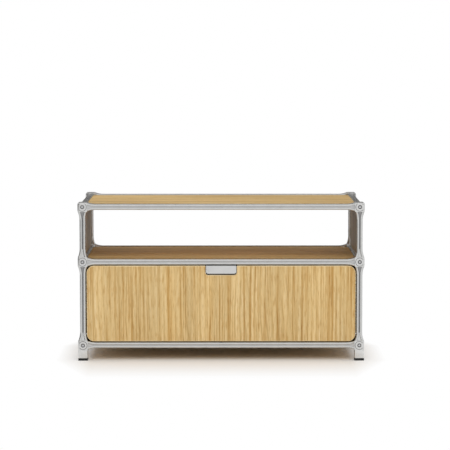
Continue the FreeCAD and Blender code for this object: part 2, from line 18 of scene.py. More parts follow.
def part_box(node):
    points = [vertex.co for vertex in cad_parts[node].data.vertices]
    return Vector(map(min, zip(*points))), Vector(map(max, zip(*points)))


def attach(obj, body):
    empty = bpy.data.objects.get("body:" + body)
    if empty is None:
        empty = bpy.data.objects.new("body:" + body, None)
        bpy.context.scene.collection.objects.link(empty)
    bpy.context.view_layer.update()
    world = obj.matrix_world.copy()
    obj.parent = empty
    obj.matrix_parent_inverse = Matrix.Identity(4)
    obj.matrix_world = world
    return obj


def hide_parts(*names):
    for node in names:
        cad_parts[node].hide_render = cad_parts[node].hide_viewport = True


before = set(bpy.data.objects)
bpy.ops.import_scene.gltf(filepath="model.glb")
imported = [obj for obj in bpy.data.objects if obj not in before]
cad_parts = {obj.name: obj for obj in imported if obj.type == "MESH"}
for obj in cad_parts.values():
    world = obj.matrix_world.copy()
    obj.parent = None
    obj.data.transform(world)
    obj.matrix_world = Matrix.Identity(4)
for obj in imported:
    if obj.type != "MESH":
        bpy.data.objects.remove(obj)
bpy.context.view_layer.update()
LOG = logging.getLogger("hi_fi_rack")
MM = 0.001
SAME_POINT = 0.001 * MM
Pair = tuple[float, float]
Triple = tuple[float, float, float]
Colour = tuple[float, float, float]
Socket = bpy.types.NodeSocket


class Axis(Enum):
    """A row axis, with its place in a coordinate."""

    X = 0
    Y = 1
    Z = 2


LINE_SCALE, LENGTH_SCALE = 2200.0, 9.0
DRAWN_LINES = {axis: tuple(LENGTH_SCALE if other is axis else LINE_SCALE for other in Axis) for axis in Axis}


class Facing(Enum):
    """Which way a board lies: the axes of its width, its height and its thickness."""

    UP = (Vector((1, 0, 0)), Vector((0, 1, 0)), Vector((0, 0, 1)))
    FRONT = (Vector((1, 0, 0)), Vector((0, 0, 1)), Vector((0, -1, 0)))
    SIDE = (Vector((0, 1, 0)), Vector((0, 0, 1)), Vector((1, 0, 0)))


class Place(Enum):
    """A named place on the rack."""

    def __str__(self) -> str:
        """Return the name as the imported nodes' names spell it."""
        return self.name.lower()


class Level(Place):
    """Height of a rail or a connector, counted from the floor."""

    BOTTOM = 0
    MIDDLE = 1
    TOP = 2


class Bay(Place):
    """The bay that a post or a side board stands beside, counted from the floor."""

    LOWER = 0
    UPPER = 1


class Face(Place):
    """Front or rear, with its direction along Y."""

    FRONT = -1
    REAR = 1


class Side(Place):
    """Left or right, with its direction along X."""

    LEFT = -1
    RIGHT = 1


class Body(Enum):
    """The moving bodies that carry the pieces made here."""

    FRAME = "frame"
    FLAP = "flap"


class Slot(Enum):
    """The record's material slots, passed along with each piece made here."""

    CASTINGS = "cast_aluminium"
    BARS = "bar_aluminium"
    OAK = "oak"
    RUBBER = "black_rubber"


def background_rays(tree: bpy.types.NodeTree) -> Socket:
    """Tell the rays that see the white background: the camera's, and those off metal and through glass.

    Args:
        tree: The node tree that asks.

    Returns:
        One for those rays, zero for the rest.
    """
    path = tree.nodes.new("ShaderNodeLightPath")
    seen = path.outputs["Is Camera Ray"]
    for ray in ("Is Glossy Ray", "Is Transmission Ray"):
        either = tree.nodes.new("ShaderNodeMath")
        either.operation = "MAXIMUM"
        tree.links.new(seen, either.inputs[0])
        tree.links.new(path.outputs[ray], either.inputs[1])
        seen = either.outputs["Value"]
    return seen


class NodeBench:
    """One material's node tree, with short ways to add and wire nodes."""

    shift_shares = (1.0, 0.7, 1.3)

    def __init__(self, name: str) -> None:
        """Start a material with a plain surface shader.

        Args:
            name: The material's name.
        """
        self.material = bpy.data.materials.new(name)
        self.material.use_nodes = True
        self.tree = self.material.node_tree
        self.shader = self.tree.nodes["Principled BSDF"]
        self.place = self.tree.nodes.new("ShaderNodeTexCoord").outputs["Object"]

    def fill(self, target: Socket, term: object) -> None:
        """Give an input what it takes.

        Args:
            target: The input.
            term: An output, which is wired to it, or a plain value.
        """
        if isinstance(term, Socket):
            self.tree.links.new(term, target)
        else:
            target.default_value = term

    def surface(self, **terms: object) -> None:
        """Fill the surface shader's own inputs, named with underscores for spaces."""
        for name, term in terms.items():
            self.fill(self.shader.inputs[name.replace("_", " ")], term)

    def add(self, kind: str, terms: dict[int | str, object], output: int | str, **options: str) -> Socket:
        """Add a node.

        Args:
            kind: Blender's name of its type, without the leading ShaderNode.
            terms: What its inputs take, by their names or places.
            output: Name or place of the output that is asked for.
            options: The node's own options.

        Returns:
            That output.
        """
        node = self.tree.nodes.new(f"ShaderNode{kind}")
        for name, option in options.items():
            setattr(node, name, option)
        for place, term in terms.items():
            self.fill(node.inputs[place], term)
        return node.outputs[output]

    def coordinate(self, axis: Axis) -> Socket:
        """Read the object's own coordinate along an axis."""
        return self.add("SeparateXYZ", {"Vector": self.place}, axis.name)

    def noise(self, scale: Sequence[float], detail: float = 2.0, rough: float = 0.5,
              shift: float = 0.0) -> Socket:
        """Add a noise pattern on the object's own coordinates.

        Args:
            scale: Cycles per metre along X, Y and Z.
            detail: Number of finer layers.
            rough: Strength of the finer layers.
            shift: Offset that gives each board its own piece of the pattern.

        Returns:
            The pattern's value, about 0 to 1.
        """
        offset = [shift * share for share in self.shift_shares]
        spot = self.add("Mapping", {"Vector": self.place, "Scale": scale, "Location": offset}, "Vector")
        terms = {"Vector": spot, "Scale": 1.0, "Detail": detail, "Roughness": rough}
        return self.add("TexNoise", terms, "Fac")

    def maths(self, operation: str, *terms: object) -> Socket:
        """Work out one number from outputs and plain numbers."""
        return self.add("Math", dict(enumerate(terms)), "Value", operation=operation)

    def spread(self, value: Socket, low: float, high: float, start: float = 0.0, end: float = 1.0) -> Socket:
        """Map a value from the range low to high to the range start to end."""
        terms = {"Value": value, "From Min": low, "From Max": high, "To Min": start, "To Max": end}
        return self.add("MapRange", terms, "Result")

    def ramp(self, value: Socket, stops: Sequence[tuple[float, Colour]]) -> Socket:
        """Colour a value.

        Args:
            value: What is coloured.
            stops: Places between 0 and 1 with their colours.

        Returns:
            The colour.
        """
        colour = self.add("ValToRGB", {"Fac": value}, "Color")
        marks = colour.node.color_ramp.elements
        while len(marks) < len(stops):
            marks.new(0.5)
        for mark, (place, tone) in zip(marks, stops):
            mark.position = place
            mark.color = (*tone, 1.0)
        return colour

    def blend(self, kind: str, share: object, first: object, second: object) -> Socket:
        """Mix two colours by one of Blender's rules, with a share of the second."""
        return self.add("Mix", {"Factor": share, 6: first, 7: second}, 2, data_type="RGBA", blend_type=kind)

    def tint(self, colour: object, tone: Socket) -> Socket:
        """Multiply a colour by a tone."""
        return self.blend("MULTIPLY", 1.0, colour, tone)

    def grey(self, value: Socket) -> Socket:
        """Turn a number into an even grey."""
        return self.add("CombineColor", {"Red": value, "Green": value, "Blue": value}, "Color")

    def bump(self, height: Socket, depth: float, strength: float) -> None:
        """Let a pattern raise the surface by a depth in metres, with the strength that it shows."""
        terms = {"Height": height, "Distance": depth, "Strength": strength}
        self.surface(Normal=self.add("Bump", terms, "Normal"))


@dataclass(frozen=True)
class Finish:
    """A surface finish: its material is made on first use."""

    name: str

    def material(self) -> bpy.types.Material:
        """Find the finish's material, or make it.

        Returns:
            The material.
        """
        known = bpy.data.materials.get(self.name)
        if known is None:
            bench = NodeBench(self.name)
            self.dress(bench)
            known = bench.material
        return known

    def dress(self, bench: NodeBench) -> None:
        """Add the finish's nodes to a new material's bench."""
        raise NotImplementedError


@dataclass(frozen=True)
class PlainFinish(Finish):
    """One colour with a fine grain in relief and clouds of tone: matt rubber, nylon or paint as it stands.

    Scales hold cycles per metre. A pair holds what a pattern gives where it is weak and where it is strong.
    """

    colour: Colour
    roughness: float
    grain_scale: Triple = (1500.0, 1500.0, 1500.0)
    grain_detail: float = 2.0
    grain_rough: Pair = (0.0, 0.0)
    cloud_scale: float = 70.0
    cloud_detail: float = 3.0
    cloud_shift: float = 2.3
    cloud_rough: Pair = (-0.05, 0.05)
    tones: Pair = (0.85, 1.15)
    relief: float = 0.03 * MM
    relief_strength: float = 0.6
    metallic: float = 0.0

    def dress(self, bench: NodeBench) -> None:
        """Add the finish's nodes.

        Args:
            bench: The material's bench.
        """
        grain = bench.noise(self.grain_scale, self.grain_detail)
        cloud = bench.noise([self.cloud_scale] * 3, self.cloud_detail, shift=self.cloud_shift)
        tone = bench.grey(bench.spread(cloud, 0.25, 0.75, *self.tones))
        rough = bench.spread(cloud, 0.2, 0.8, *(self.roughness + change for change in self.cloud_rough))
        rough = bench.maths("ADD", rough, bench.spread(grain, 0.2, 0.8, *self.grain_rough))
        colour = bench.tint((*self.colour, 1.0), tone)
        bench.surface(Metallic=self.metallic, Base_Color=colour, Roughness=rough)
        bench.bump(grain, self.relief, self.relief_strength)


@dataclass(frozen=True)
class DrawnAluminium(PlainFinish):
    """Satin aluminium with fine lines along the way it was drawn."""

    roughness: float = 0.33
    grain_scale: Triple = DRAWN_LINES[Axis.X]
    grain_detail: float = 3.0
    grain_rough: Pair = (-0.05, 0.05)
    cloud_scale: float = 38.0
    cloud_shift: float = 3.1
    cloud_rough: Pair = (-0.03, 0.05)
    tones: Pair = (0.96, 1.03)
    relief: float = 0.01 * MM
    relief_strength: float = 0.5
    metallic: float = 1.0


@dataclass(frozen=True)
class CastAluminium(PlainFinish):
    """Fine blasted cast aluminium."""

    roughness: float = 0.4
    grain_scale: Triple = (2600.0, 2600.0, 2600.0)
    cloud_scale: float = 90.0
    cloud_detail: float = 4.0
    cloud_shift: float = 1.7
    cloud_rough: Pair = (-0.04, 0.07)
    tones: Pair = (0.94, 1.04)
    relief: float = 0.018 * MM
    metallic: float = 1.0


@dataclass(frozen=True)
class TurnedSteel(PlainFinish):
    """Plated steel of screws, pins and stays, with fine scratches."""

    colour: Colour = (0.6, 0.6, 0.61)
    roughness: float = 0.26
    grain_scale: Triple = (900.0, 900.0, 120.0)
    grain_detail: float = 4.0
    grain_rough: Pair = (-0.06, 0.1)
    cloud_scale: float = 160.0
    cloud_shift: float = 5.3
    cloud_rough: Pair = (0.0, 0.0)
    tones: Pair = (0.9, 1.05)
    relief: float = 0.01 * MM
    relief_strength: float = 0.5
    metallic: float = 1.0


@dataclass(frozen=True)
class OakVeneer(Finish):
    """Oak veneer under satin lacquer: wandering growth rings, fine streaks and short dark pores.

    A field that ends in scale holds cycles per metre across and along the grain.
    """

    grain: Axis
    across: Axis
    shift: float
    dark: Colour = (0.52, 0.33, 0.125)
    middle: Colour = (0.745, 0.55, 0.27)
    light: Colour = (0.85, 0.665, 0.38)
    rings: float = 58.0
    wander: float = 6.0
    tremble: float = 0.6
    figure: float = 0.75
    bands: float = 0.11
    sheen: float = 0.2
    roughness: float = 0.5
    drift_scale: Pair = (3.6, 1.5)
    tremble_scale: Pair = (60.0, 6.0)
    calm_scale: Pair = (26.0, 4.5)
    band_scale: Pair = (16.0, 1.2)
    streak_scale: Pair = (150.0, 2.2)
    streak_tints: tuple[tuple[float, Colour], ...] = ((0.0, (0.7, 0.57, 0.38)), (0.42, (0.9, 0.86, 0.78)),
                                                      (1.0, (1.0, 1.0, 1.0)))
    dash_scale: Pair = (300.0, 26.0)
    dash_tints: tuple[tuple[float, Colour], ...] = ((0.0, (1.0, 1.0, 1.0)), (1.0, (0.8, 0.7, 0.55)))
    pore_scale: Pair = (1500.0, 42.0)
    pore_tone: float = 0.74
    relief: float = 0.06 * MM

    def pattern(self, bench: NodeBench, scale: Pair, offset: float, detail: float = 2.0,
                rough: float = 0.5) -> Socket:
        """Add a noise pattern drawn out along the grain.

        Args:
            bench: The material's bench.
            scale: Cycles per metre across and along the grain.
            offset: Keeps the pattern apart from the veneer's others.
            detail: Number of finer layers.
            rough: Strength of the finer layers.

        Returns:
            The pattern's value, about 0 to 1.
        """
        across, along = scale
        drawn = [across] * 3
        drawn[self.grain.value] = along
        return bench.noise(drawn, detail, rough, self.shift + offset)

    def dress(self, bench: NodeBench) -> None:
        """Add the finish's nodes.

        Args:
            bench: The material's bench.
        """
        drift = self.pattern(bench, self.drift_scale, 0.0, rough=0.45)
        tremble = self.pattern(bench, self.tremble_scale, 2.0)
        ring = bench.maths("MULTIPLY", bench.coordinate(self.across), self.rings)
        ring = bench.maths("MULTIPLY_ADD", drift, self.wander, ring)
        ring = bench.maths("MULTIPLY_ADD", tremble, self.tremble, ring)
        ring = bench.maths("FRACT", ring)
        soft_ring = bench.ramp(ring, ((0.0, self.middle), (0.3, self.light), (0.74, self.middle),
                                      (0.9, self.dark), (0.95, self.dark), (1.0, self.middle)))
        calm = self.pattern(bench, self.calm_scale, 5.0)
        share = bench.spread(calm, 0.36, 0.64, 0.0, self.figure)
        colour = bench.blend("MIX", share, (*self.middle, 1.0), soft_ring)
        band = self.pattern(bench, self.band_scale, 8.0, 3.0)
        band_tone = bench.spread(band, 0.3, 0.7, 1.0 - self.bands, 1.0 + self.bands)
        colour = bench.tint(colour, bench.grey(band_tone))
        streak = self.pattern(bench, self.streak_scale, 11.0, 3.0, 0.6)
        colour = bench.tint(colour, bench.ramp(bench.spread(streak, 0.37, 0.63), self.streak_tints))
        dash = self.pattern(bench, self.dash_scale, 17.0)
        colour = bench.tint(colour, bench.ramp(bench.spread(dash, 0.52, 0.7), self.dash_tints))
        pore = self.pattern(bench, self.pore_scale, 13.0, 1.0)
        pore_tone = bench.spread(pore, 0.6, 0.72, 1.0, self.pore_tone)
        bench.surface(Base_Color=bench.tint(colour, bench.grey(pore_tone)), Specular_IOR_Level=self.sheen,
                      Roughness=bench.spread(streak, 0.3, 0.7, self.roughness, self.roughness + 0.1))
        bench.bump(pore_tone, self.relief, 0.5)


@dataclass(frozen=True)
class FloorFinish(Finish):
    """White studio floor that fades into the white background away from the rack."""

    colour: Colour = (0.945, 0.905, 0.855)
    side_fade: Pair = (0.42, 0.54)
    front_fade: Pair = (0.24, 0.6)
    back_fade: Pair = (0.1, 0.45)

    def dress(self, bench: NodeBench) -> None:
        """Add the finish's nodes.

        Args:
            bench: The material's bench.
        """
        bench.surface(Base_Color=(*self.colour, 1.0), Roughness=0.9, Specular_IOR_Level=0.0)
        aside = bench.spread(bench.maths("ABSOLUTE", bench.coordinate(Axis.X)), *self.side_fade)
        before = bench.spread(bench.maths("MULTIPLY", bench.coordinate(Axis.Y), -1.0), *self.front_fade)
        behind = bench.spread(bench.coordinate(Axis.Y), *self.back_fade)
        away = bench.maths("ADD", aside, bench.maths("MAXIMUM", before, behind))
        away = bench.maths("MINIMUM", away, 1.0)
        fade = bench.maths("MULTIPLY", away, background_rays(bench.tree))
        glow = bench.add("Emission", {}, "Emission")
        mixed = bench.add("MixShader", {"Fac": fade, 1: bench.shader.outputs["BSDF"], 2: glow}, "Shader")
        bench.fill(bench.tree.nodes["Material Output"].inputs["Surface"], mixed)


BAR_TONE = (0.59, 0.59, 0.58)
# Painted shade: darker copies of the bar metal for the grooves, darkest on the posts.
GROOVE_SHADE_TONES = {Axis.X: (0.54, 0.54, 0.535), Axis.Y: (0.54, 0.54, 0.535), Axis.Z: (0.28, 0.28, 0.28)}
BAR_METALS = {axis: DrawnAluminium(f"drawn_aluminium_{axis.name.lower()}", BAR_TONE, 0.27, lines)
              for axis, lines in DRAWN_LINES.items()}
GROOVE_SHADE_METALS = {axis: DrawnAluminium(f"groove_aluminium_{axis.name.lower()}", tone,
                                      grain_scale=DRAWN_LINES[axis]) for axis, tone in GROOVE_SHADE_TONES.items()}
CASTING = CastAluminium("cast_aluminium", (0.52, 0.52, 0.515))
# Painted shade: a dark ring of the casting round each disc's step.
DISC_RING_SHADE = CastAluminium("dull_cast_aluminium", (0.2, 0.2, 0.2), 0.5)
FOOT_CASTING = CastAluminium("foot_aluminium", (0.74, 0.74, 0.73))
# Painted shade: the walls and floor of each screw recess are greyed to stand in for the shade in it.
RECESS_SHADE = PlainFinish("recess_grey", (0.34, 0.34, 0.34), 0.55)
GRIP_METAL = DrawnAluminium("grip_aluminium", (0.64, 0.64, 0.63), 0.36)
STEEL = TurnedSteel("turned_steel")
STAY_GREY = PlainFinish("stay_grey_paint", (0.16, 0.16, 0.165), 0.45)
RUBBER = PlainFinish("foot_rubber", (0.008, 0.008, 0.008), 0.7)
NYLON = PlainFinish("black_nylon", (0.02, 0.02, 0.02), 0.45)
CARD_GREY = PlainFinish("studio_flag", (0.25, 0.25, 0.25), 0.9)
SHADED = {"dark": (0.16, 0.13, 0.09), "middle": (0.42, 0.36, 0.27), "light": (0.6, 0.53, 0.42)}
GOLDEN = {"dark": (0.56, 0.35, 0.12), "middle": (0.81, 0.58, 0.265), "light": (0.9, 0.68, 0.35)}
FLAP_OAK = OakVeneer("flap_oak", Axis.Z, Axis.X, 4.2)
TOP_OAK = OakVeneer("top_oak", Axis.X, Axis.Y, 9.4, figure=0.8, bands=0.2, **GOLDEN)
SHELF_OAK = OakVeneer("shelf_oak", Axis.X, Axis.Y, 15.1, figure=0.55)
BOTTOM_OAK = OakVeneer("bottom_oak", Axis.X, Axis.Y, 21.7, figure=0.6)
SIDE_OAK = OakVeneer("side_oak", Axis.Z, Axis.Y, 27.3, figure=0.9, bands=0.3, sheen=0.9, roughness=0.34,
                     **SHADED)
OUTSIDE_OAK = OakVeneer("outside_oak", Axis.Z, Axis.Y, 47.6)
BACK_OAK = OakVeneer("back_oak", Axis.Z, Axis.X, 33.9, figure=0.6)
SIDE_EDGE = OakVeneer("side_edge_oak", Axis.Z, Axis.Y, 46.0, figure=0.3, **SHADED)
# Painted highlight: a paler oak on the boards' rounded edges and sides stands in for the light they catch.
EDGE_HIGHLIGHT_OAK = OakVeneer("edge_band_oak", Axis.X, Axis.Z, 40.0, middle=(0.97, 0.84, 0.6), figure=0.15)


@dataclass(frozen=True)
class Corner:
    """A corner of a flat outline and the radius that rounds it."""

    x: float
    y: float
    radius: float


def rounded_outline(corners: Sequence[Corner], steps: int = 10) -> list[tuple[Vector, Vector]]:
    """Round the corners of an outline that runs counter-clockwise.

    Args:
        corners: The corners in order.
        steps: Straight pieces in each rounding.

    Returns:
        Points with their outward normals.
    """
    outline = []
    count = len(corners)
    for index, corner in enumerate(corners):
        here = Vector((corner.x, corner.y))
        before = corners[index - 1]
        after = corners[(index + 1) % count]
        arrive = (here - Vector((before.x, before.y))).normalized()
        leave = (Vector((after.x, after.y)) - here).normalized()
        turn = math.atan2(arrive.x * leave.y - arrive.y * leave.x, arrive.dot(leave))
        bend = math.copysign(corner.radius, turn)
        outward = Vector((arrive.y, -arrive.x))
        centre = here - arrive * corner.radius * math.tan(abs(turn) / 2) - outward * bend
        for step in range(steps + 1):
            normal = Matrix.Rotation(turn * step / steps, 2) @ outward
            outline.append((centre + normal * bend, normal))
    return outline


def rectangle(width: float, height: float, radius: float) -> list[Corner]:
    """Corners of a centred rectangle.

    Args:
        width: Full width.
        height: Full height.
        radius: Radius of each corner.

    Returns:
        The corners, counter-clockwise.
    """
    half_x, half_y = width / 2, height / 2
    return [Corner(-half_x, -half_y, radius), Corner(half_x, -half_y, radius),
            Corner(half_x, half_y, radius), Corner(-half_x, half_y, radius)]


def skin(build: bmesh.types.BMesh, rings: Sequence[Sequence[bmesh.types.BMVert]]) -> list[bmesh.types.BMFace]:
    """Close the space between rings of points, and both ends, with faces that look outwards.

    Args:
        build: The work mesh.
        rings: Rings with as many points each, from one end to the other.

    Returns:
        The faces between the rings, ring by ring.
    """
    walls = []
    for lower, upper in zip(rings, rings[1:]):
        for index in range(len(lower)):
            following = (index + 1) % len(lower)
            walls.append(build.faces.new((lower[index], lower[following], upper[following], upper[index])))
    build.faces.new(rings[0])
    build.faces.new(rings[-1])
    bmesh.ops.recalc_face_normals(build, faces=build.faces)
    return walls


def finished(build: bmesh.types.BMesh, name: str) -> bpy.types.Mesh:
    """Keep a work mesh as a mesh of its own.

    Args:
        build: The work mesh.
        name: The mesh's name.

    Returns:
        The mesh.
    """
    mesh = bpy.data.meshes.new(name)
    build.to_mesh(mesh)
    build.free()
    return mesh


def plate_mesh(name: str, outline: Sequence[tuple[Vector, Vector]], thickness: float, edge: float,
               facing: Facing, centre: Vector, steps: int = 3) -> bpy.types.Mesh:
    """Plate with a rounded edge all round; its rim takes the second material.

    Args:
        name: The mesh's name.
        outline: Points and normals of the outline in the plate's plane.
        thickness: Full thickness.
        edge: Radius of the edge's rounding.
        facing: Which way the plate lies.
        centre: Middle of the plate, at half its thickness.
        steps: Straight pieces in the edge's rounding.

    Returns:
        The mesh.
    """
    wide, high, deep = facing.value
    half = thickness / 2
    angles = [math.pi / 2 * step / steps for step in range(steps + 1)]
    front = [(edge * (1 - math.sin(angle)), half - edge * (1 - math.cos(angle))) for angle in angles]
    profile = front + [(inset, -depth) for inset, depth in reversed(front)]
    build = bmesh.new()
    rings = []
    for inset, depth in profile:
        ring = []
        for point, normal in outline:
            spot = point - normal * inset
            ring.append(build.verts.new(centre + wide * spot.x + high * spot.y + deep * depth))
        rings.append(ring)
    for wall in skin(build, rings):
        wall.smooth = True
        wall.material_index = 1
    bmesh.ops.remove_doubles(build, verts=build.verts, dist=SAME_POINT)
    for line in build.edges:
        line.smooth = all(face.material_index == 1 for face in line.link_faces)
    return finished(build, name)


def smooth_by_angle(mesh: bpy.types.Mesh, degrees: float = 32.0) -> None:
    """Shade a mesh smooth, but keep edges sharper than an angle crisp."""
    mesh.shade_smooth()
    mesh.set_sharp_from_angle(angle=math.radians(degrees))


def lathe_mesh(name: str, profile: Sequence[tuple[float, float]], base: Vector, axis: Vector,
               segments: int) -> bpy.types.Mesh:
    """Turn a profile about an axis; a radius of zero closes it.

    Args:
        name: The mesh's name.
        profile: Radius and height of each point, from one end to the other.
        base: Point on the axis where the height is zero.
        axis: Direction of rising height.
        segments: Steps round the axis.

    Returns:
        The mesh.
    """
    turn = axis.to_track_quat("Z", "X").to_matrix()
    build = bmesh.new()
    rings = []
    for radius, height in profile:
        ring = []
        for step in range(segments if radius else 1):
            angle = 2 * math.pi * step / segments
            spot = Vector((radius * math.cos(angle), radius * math.sin(angle), height))
            ring.append(build.verts.new(base + turn @ spot))
        rings.append(ring)
    for lower, upper in zip(rings, rings[1:]):
        for step in range(segments):
            following = (step + 1) % segments
            if len(lower) == 1:
                build.faces.new((lower[0], upper[following], upper[step]))
            elif len(upper) == 1:
                build.faces.new((lower[step], lower[following], upper[0]))
            else:
                build.faces.new((lower[step], lower[following], upper[following], upper[step]))
    bmesh.ops.remove_doubles(build, verts=build.verts, dist=SAME_POINT)
    bmesh.ops.recalc_face_normals(build, faces=build.faces)
    return finished(build, name)


def cut_away(body: bpy.types.Mesh, cutters: Sequence[bpy.types.Mesh]) -> bpy.types.Mesh:
    """Remove solids from a body.

    Args:
        body: The solid that is cut.
        cutters: The solids that cut it.

    Returns:
        The cut mesh.
    """
    name = body.name
    scene = bpy.context.scene.collection
    work = bpy.data.objects.new("work", body)
    scene.objects.link(work)
    tools = []
    for cutter in cutters:
        tool = bpy.data.objects.new("tool", cutter)
        scene.objects.link(tool)
        tools.append(tool)
        step = work.modifiers.new("cut", "BOOLEAN")
        step.object = tool
        step.operation = "DIFFERENCE"
        step.solver = "EXACT"
    bpy.context.view_layer.update()
    done = bpy.data.meshes.new_from_object(work.evaluated_get(bpy.context.evaluated_depsgraph_get()))
    for used in [work, *tools]:
        mesh = used.data
        bpy.data.objects.remove(used)
        bpy.data.meshes.remove(mesh)
    done.name = name
    return done


def add_piece(name: str, mesh: bpy.types.Mesh, finishes: Sequence[Finish], body: str, slot: str,
              *stands_for: str) -> None:
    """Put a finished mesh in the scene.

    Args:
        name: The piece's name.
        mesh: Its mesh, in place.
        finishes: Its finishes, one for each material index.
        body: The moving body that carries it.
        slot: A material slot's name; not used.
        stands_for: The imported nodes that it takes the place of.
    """
    piece = bpy.data.objects.new(name, mesh)
    bpy.context.scene.collection.objects.link(piece)
    while len(mesh.materials) < len(finishes):
        mesh.materials.append(None)
    for index, finish in enumerate(finishes):
        mesh.materials[index] = finish.material()
    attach(piece, body)
    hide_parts(*stands_for)
    LOG.info("%s rides on %s", name, body)


def dress_node(node: str, finish: Finish) -> None:
    """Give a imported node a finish.

    Args:
        node: The node's name.
        finish: The finish.
    """
    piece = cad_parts[node]
    if not piece.material_slots:
        piece.data.materials.append(finish.material())
    for place in piece.material_slots:
        place.material = finish.material()
    LOG.info("%s finished in %s", node, finish.name)


def node_box(node: str) -> tuple[Vector, Vector]:
    """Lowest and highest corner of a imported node."""
    low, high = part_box(node)
    return Vector(low), Vector(high)


@dataclass
class GroovedBars:
    """Posts and rails: square bars with four round lobes, flared at both ends."""

    width: float = 19 * MM
    lobe: float = 4.8 * MM
    groove: float = 2.2 * MM
    end_width: float = 29.5 * MM
    flare: float = 28 * MM
    end_edge: float = 0.5 * MM
    lit_flare_share: float = 0.9
    lobe_steps: int = 14
    flank_steps: int = 2
    flare_steps: int = 12

    def outline(self, half: float) -> list[Vector]:
        """Section of the bar.

        Args:
            half: Half its width.

        Returns:
            Points round the section.
        """
        centre = half - self.lobe
        floor = half - self.groove
        opening = math.acos((floor - centre) / self.lobe)
        points = []
        for quarter in range(4):
            for step in range(self.lobe_steps + 1):
                angle = -opening + (math.pi / 2 + 2 * opening) * step / self.lobe_steps
                x = centre + self.lobe * math.cos(angle)
                y = centre + self.lobe * math.sin(angle)
                points.append(Matrix.Rotation(math.pi / 2 * quarter, 2) @ Vector((x, y)))
        return points

    def half_at(self, distance: float) -> float:
        """Half width at a distance from the bar's end.

        Args:
            distance: How far from the end.

        Returns:
            Half the width there.
        """
        widening = (self.end_width - self.width) / 2
        radius = (self.flare ** 2 + widening ** 2) / (2 * widening)
        inward = max(self.flare - distance, 0.0)
        return self.width / 2 + radius - math.sqrt(radius ** 2 - inward ** 2)

    def stations(self, length: float) -> list[tuple[float, float]]:
        """Places along the bar and the half width at each.

        Args:
            length: The bar's length.

        Returns:
            Distance from the first end, and half width.
        """
        first = [(0.0, self.half_at(0.0) - self.end_edge), (self.end_edge, self.half_at(self.end_edge))]
        for step in range(1, self.flare_steps + 1):
            distance = self.end_edge + (self.flare - self.end_edge) * step / self.flare_steps
            first.append((distance, self.half_at(distance)))
        return first + [(length - distance, half) for distance, half in reversed(first)]

    def mesh(self, name: str, low: Vector, high: Vector) -> tuple[bpy.types.Mesh, Axis]:
        """Mesh of one bar in the box of its node; its grooves take the second material, a darker copy of the
        metal that paints the shade in them.

        The grooves of a post's lower flare look upwards into the light and keep the first material.

        Args:
            name: The mesh's name.
            low: Lowest corner.
            high: Highest corner.

        Returns:
            The mesh, and the axis that it runs along.
        """
        span = high - low
        run = max(Axis, key=lambda axis: span[axis.value])
        first, second = (axis.value for axis in Axis if axis is not run)
        middle = (low + high) / 2
        build = bmesh.new()
        rings = []
        stations = self.stations(span[run.value])
        for distance, half in stations:
            ring = []
            for point in self.outline(half):
                spot = middle.copy()
                spot[run.value] = low[run.value] + distance
                spot[first] += point.x
                spot[second] += point.y
                ring.append(build.verts.new(spot))
            rings.append(ring)
        for number, wall in enumerate(skin(build, rings)):
            station, place = divmod(number, len(rings[0]))
            step = place % (self.lobe_steps + 1)
            in_groove = step < self.flank_steps or step >= self.lobe_steps - self.flank_steps
            lit = run is Axis.Z and stations[station][0] < self.lit_flare_share * self.flare
            # groove faces take the painted shade, except in a post's lower flare that faces up into the light
            wall.material_index = 1 if in_groove and not lit else 0
        mesh = finished(build, name)
        smooth_by_angle(mesh)
        return mesh, run

    def build(self) -> None:
        """Make every post and rail."""
        nodes = [f"width_rail_{face}_{level}" for face in Face for level in Level]
        nodes += [f"depth_rail_{side}_{level}" for side in Side for level in Level]
        nodes += [f"post_{bay}_{face}_{side}" for bay in Bay for face in Face for side in Side]
        for node in nodes:
            mesh, run = self.mesh(f"bar_{node}", *node_box(node))
            finishes = [BAR_METALS[run], GROOVE_SHADE_METALS[run]]
            add_piece(f"bar_{node}", mesh, finishes, Body.FRAME.value, Slot.BARS.value, node)


